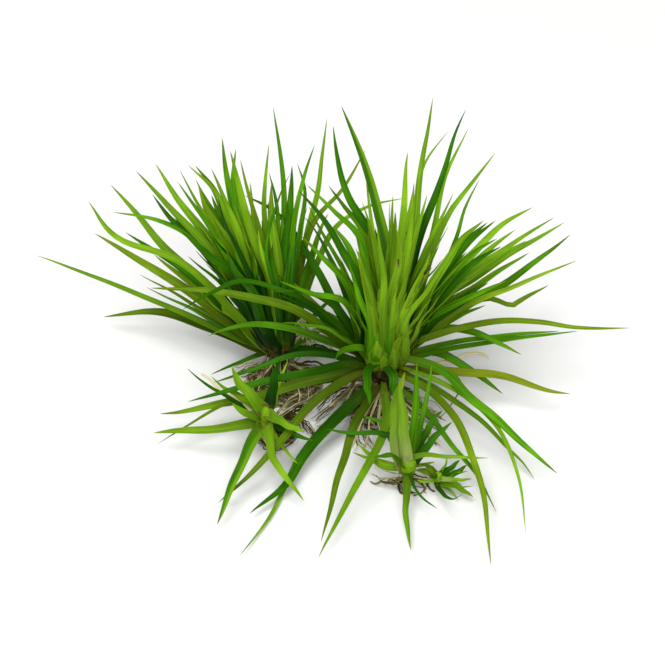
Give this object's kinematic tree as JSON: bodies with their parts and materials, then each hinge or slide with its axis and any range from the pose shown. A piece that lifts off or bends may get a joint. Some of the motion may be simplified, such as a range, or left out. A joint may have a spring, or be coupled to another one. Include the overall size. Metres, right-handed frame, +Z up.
{
  "type": "eriocaulon cinereum plant clump",
  "caption": "Grass-like aquarium plant clump: large leaf rosettes and small daughter plants on tangled pale roots, resting on a surface.",
  "frame": {"origin": "on the surface that the clump rests on, under the middle of its box", "axes": "+Z up from the surface, +X to the right of the side that the picture shows, -Y towards its viewer"},
  "size_m": [0.117, 0.0868, 0.054],
  "materials": {
    "leaf": "living leaf blade, satin, fine lengthwise veins, lime to dark green",
    "crown": "short stem and heart leaves, satin, paler towards the base",
    "roots": "dull fibrous roots, cream to brown"
  },
  "bodies": {
    "root": {"left_plantlet_crown": "crown", "left_plantlet_lower_leaf_1": "leaf", "left_plantlet_lower_leaf_2": "leaf", "left_plantlet_lower_leaf_3": "leaf", "left_plantlet_roots": "roots", "left_plantlet_upper_leaf_1": "leaf", "left_plantlet_upper_leaf_2": "leaf", "main_back_leaf_1": "leaf", "main_back_leaf_2": "leaf", "main_back_leaf_3": "leaf", "main_back_leaf_4": "leaf", "main_back_leaf_5": "leaf", "main_back_leaf_6": "leaf", "main_crown": "crown", "main_front_leaf_1": "leaf", "main_front_leaf_2": "leaf", "main_front_leaf_3": "leaf", "main_front_leaf_4": "leaf", "main_front_leaf_5": "leaf", "main_front_leaf_6": "leaf", "main_front_leaf_7": "leaf", "main_front_leaf_8": "leaf", "main_left_leaf_1": "leaf", "main_left_leaf_2": "leaf", "main_left_leaf_3": "leaf", "main_left_leaf_4": "leaf", "main_left_leaf_5": "leaf", "main_left_leaf_6": "leaf", "main_left_leaf_7": "leaf", "main_right_leaf_1": "leaf", "main_right_leaf_2": "leaf", "main_right_leaf_3": "leaf", "main_right_leaf_4": "leaf", "main_right_leaf_5": "leaf", "main_right_leaf_6": "leaf", "main_roots": "roots", "mini_plantlet_crown": "crown", "right_plantlet_crown": "crown", "right_plantlet_lower_leaf_1": "leaf", "right_plantlet_lower_leaf_2": "leaf", "right_plantlet_roots": "roots", "right_plantlet_upper_leaf_1": "leaf", "right_plantlet_upper_leaf_2": "leaf", "right_plantlet_upper_leaf_3": "leaf", "side_back_leaf_1": "leaf", "side_back_leaf_2": "leaf", "side_back_leaf_3": "leaf", "side_back_leaf_4": "leaf", "side_back_leaf_5": "leaf", "side_back_leaf_6": "leaf", "side_back_leaf_7": "leaf", "side_crown": "crown", "side_left_leaf_1": "leaf", "side_left_leaf_2": "leaf", "side_left_leaf_3": "leaf", "side_left_leaf_4": "leaf", "side_left_leaf_5": "leaf", "side_left_leaf_6": "leaf", "side_roots": "roots"}
  },
  "joints": []
}
